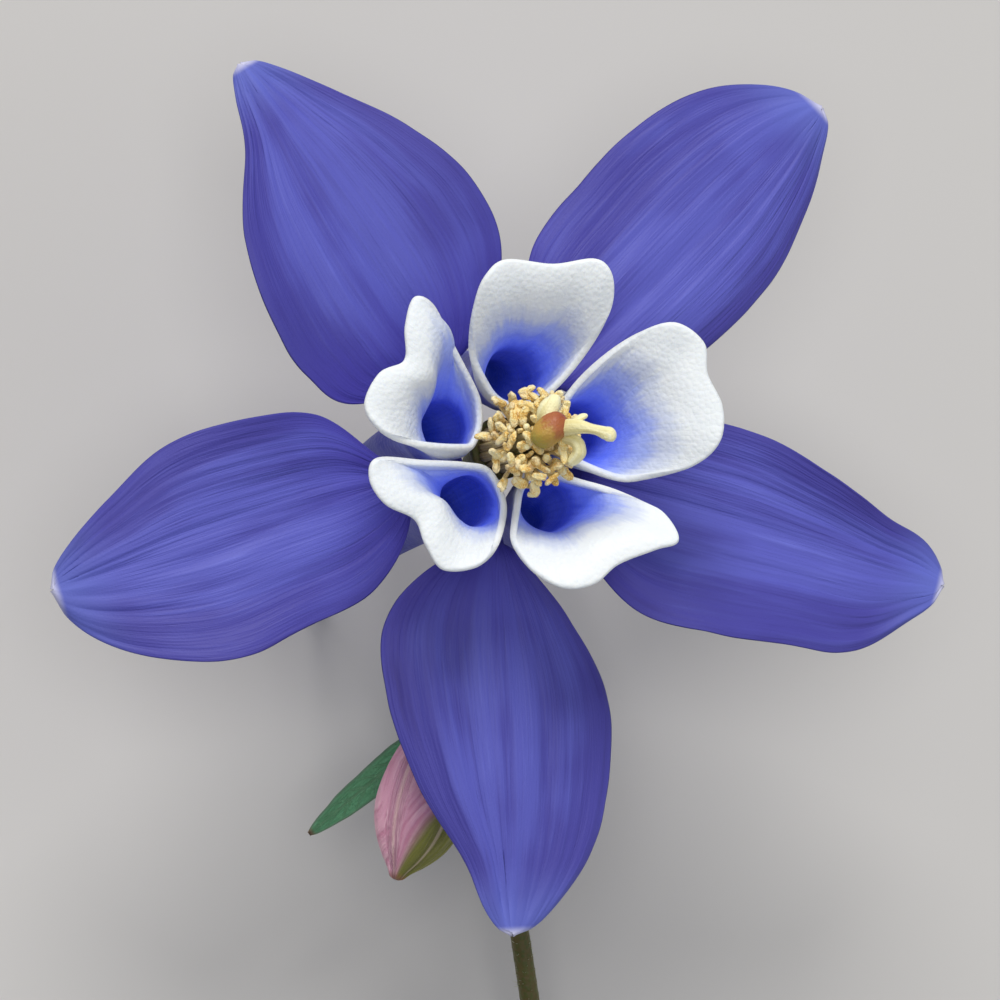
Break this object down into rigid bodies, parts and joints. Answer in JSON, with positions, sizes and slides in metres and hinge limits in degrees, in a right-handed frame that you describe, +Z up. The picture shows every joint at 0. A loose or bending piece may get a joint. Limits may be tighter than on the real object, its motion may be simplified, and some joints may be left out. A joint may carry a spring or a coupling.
{
  "type": "columbine plant",
  "caption": "Cut columbine stem lying down: an open long-spurred bloom facing up, a nodding bud on a side stalk and a small narrow bract.",
  "frame": {"origin": "middle of the whole outline, on the surface that the cut stem lies on", "axes": "+Z up, out of the open bloom's face; +Y from the cut end of the stem towards the bloom; +X to the bloom's right as it is looked down on"},
  "size_m": [0.0836, 0.1527, 0.0579],
  "materials": {
    "sepal": "soft satin, fine lengthwise veins",
    "petal": "soft matte white with a blue throat",
    "anther": "matte, mealy",
    "style": "soft satin",
    "stem": "green stalk with fine hairs",
    "bud": "soft satin, rose and olive",
    "leaf": "matte green"
  },
  "bodies": {
    "root": {"sepal_1": "sepal", "sepal_2": "sepal", "sepal_3": "sepal", "sepal_4": "sepal", "sepal_5": "sepal", "petal_1": "petal", "petal_2": "petal", "petal_3": "petal", "petal_4": "petal", "petal_5": "petal", "stamens": "anther", "pistils": "style", "stem": "stem", "bud": "bud", "bud_spurs": "bud", "bract": "leaf"}
  },
  "joints": []
}
